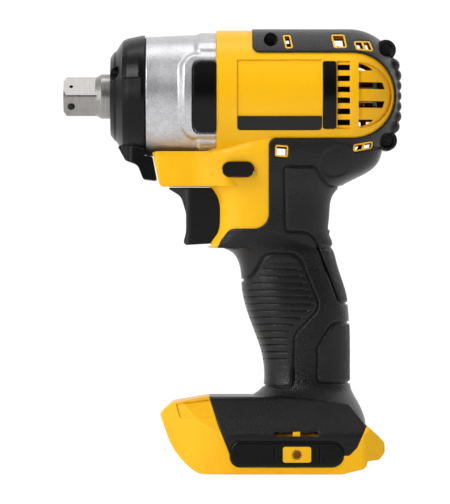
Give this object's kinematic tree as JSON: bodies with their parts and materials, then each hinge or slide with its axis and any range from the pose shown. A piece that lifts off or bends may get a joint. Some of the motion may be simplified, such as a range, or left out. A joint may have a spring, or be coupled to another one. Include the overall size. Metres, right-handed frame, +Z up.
{
  "type": "cordless impact wrench",
  "caption": "Compact pistol-grip cordless impact wrench, bare tool: cast hammer case, square drive with detent pin, trigger, direction button and open battery foot.",
  "frame": {"origin": "on the ground under the middle of the bounding box of the tool standing on its battery foot", "axes": "+Z up, -X towards the square drive, +X towards the motor's rear end, -Y is the tool's left side"},
  "size_m": [0.147, 0.069, 0.1928],
  "materials": {
    "yellow_shell": "fine moulded grain, glass-filled nylon",
    "soft_cover": "moulded soft cover, fine grain",
    "bumper_rubber": "smooth moulded rubber",
    "black_plastic": "fine satin grain",
    "cast_case": "as cast and tumbled, fine grain",
    "drive_steel": "ground hardened steel",
    "steel": "machined steel",
    "spring_steel": "oil-tempered wire",
    "sintered_bronze": "oil-filled bush",
    "brass": "turned brass",
    "copper": "enamelled copper wire",
    "magnet": "ground ferrite",
    "carbon": "pressed carbon",
    "board": "glass-fibre board",
    "nylon": "moulded nylon",
    "led": "emitter",
    "lens": "clear polycarbonate",
    "felt": "felt ring",
    "wire_red": "wire insulation"
  },
  "bodies": {
    "housing": {"left_shell": "yellow_shell", "right_shell": "yellow_shell", "left_cover": "soft_cover", "right_cover": "soft_cover", "label_strips": "black_plastic", "side_bars": "bumper_rubber", "foot_bumpers": "bumper_rubber", "hook_inserts": "brass", "hammer_case": "cast_case", "case_bumpers": "bumper_rubber", "case_screws": "steel", "anvil_bushing": "sintered_bronze", "nose_seal": "felt", "anvil_washer": "steel", "nose_boot": "bumper_rubber", "led_board": "board", "led_emitters": "led", "led_lenses": "lens", "ring_gear": "steel", "gear_plate": "cast_case", "camshaft_bearing": "sintered_bronze", "motor_front_bearing": "steel", "motor_rear_bearing": "steel", "motor_can": "steel", "motor_magnets": "magnet", "brush_holders": "brass", "carbon_brushes": "carbon", "brush_springs": "spring_steel", "brush_card": "board", "trigger_switch": "nylon", "terminal_block": "nylon", "battery_terminals": "brass", "battery_leads": "wire_red", "motor_leads": "wire_red", "housing_screws": "steel"},
    "anvil": {"anvil": "drive_steel", "retaining_pin": "steel", "detent_spring": "spring_steel"},
    "detent": {"detent_pin": "drive_steel"},
    "camshaft": {"camshaft": "steel", "planet_pins": "steel", "cam_balls": "steel", "hammer_spring": "spring_steel"},
    "hammer": {"hammer": "steel", "thrust_balls": "steel", "spring_washer": "steel"},
    "planet_1": {"planet_gear_1": "steel"},
    "planet_2": {"planet_gear_2": "steel"},
    "planet_3": {"planet_gear_3": "steel"},
    "rotor": {"armature_shaft": "steel", "lamination_stack": "steel", "armature_windings": "copper", "commutator": "copper", "cooling_fan": "nylon"},
    "trigger": {"trigger": "black_plastic", "switch_plunger": "nylon", "trigger_spring": "spring_steel"},
    "button": {"direction_button": "black_plastic"},
    "lever": {"reversing_lever": "nylon"}
  },
  "joints": [
    {"name": "camshaft_spin", "type": "hinge", "parent": "housing", "child": "camshaft", "pos_m": [0, 0, 0.1634], "axis": [1, 0, 0], "continuous": true},
    {"name": "rotor_spin", "type": "hinge", "parent": "housing", "child": "rotor", "pos_m": [0, 0, 0.1634], "axis": [1, 0, 0], "continuous": true},
    {"name": "anvil_spin", "type": "hinge", "parent": "housing", "child": "anvil", "pos_m": [0, 0, 0.1634], "axis": [1, 0, 0], "continuous": true},
    {"name": "planet_1_spin", "type": "hinge", "parent": "camshaft", "child": "planet_1", "pos_m": [0.0052, 0, 0.17465], "axis": [1, 0, 0], "continuous": true},
    {"name": "planet_2_spin", "type": "hinge", "parent": "camshaft", "child": "planet_2", "pos_m": [0.0052, -0.00974, 0.15777], "axis": [1, 0, 0], "continuous": true},
    {"name": "planet_3_spin", "type": "hinge", "parent": "camshaft", "child": "planet_3", "pos_m": [0.0052, 0.00974, 0.15777], "axis": [1, 0, 0], "continuous": true},
    {"name": "hammer_slide", "type": "slide", "parent": "camshaft", "child": "hammer", "axis": [1, 0, 0], "range_m": [0, 0.0075], "stiffness_N_per_m": 20000, "springref_m": -0.006, "deforming": ["hammer_spring"]},
    {"name": "detent_slide", "type": "slide", "parent": "anvil", "child": "detent", "axis": [0, 0.7071, 0.7071], "range_m": [0, 0.0008], "stiffness_N_per_m": 3000, "springref_m": -0.0006, "deforming": ["detent_spring"]},
    {"name": "trigger_slide", "type": "slide", "parent": "housing", "child": "trigger", "axis": [1, 0, 0], "range_m": [0, 0.0065], "stiffness_N_per_m": 1200, "springref_m": -0.003, "deforming": ["trigger_spring"]},
    {"name": "button_slide", "type": "slide", "parent": "housing", "child": "button", "axis": [0, 1, 0], "range_m": [-0.003, 0.003]},
    {"name": "lever_swing", "type": "hinge", "parent": "housing", "child": "lever", "pos_m": [0.017, 0, 0.1228], "axis": [0, 0, 1], "range_deg": [-14, 14]}
  ],
  "couplings": [
    {"joint": "rotor_spin", "follows": "camshaft_spin", "ratio": 6.6667},
    {"joint": "anvil_spin", "follows": "camshaft_spin", "ratio": 1},
    {"joint": "planet_1_spin", "follows": "camshaft_spin", "ratio": -2.4286},
    {"joint": "planet_2_spin", "follows": "camshaft_spin", "ratio": -2.4286},
    {"joint": "planet_3_spin", "follows": "camshaft_spin", "ratio": -2.4286},
    {"joint": "lever_swing", "follows": "button_slide", "rad_per_m": -78.5}
  ]
}
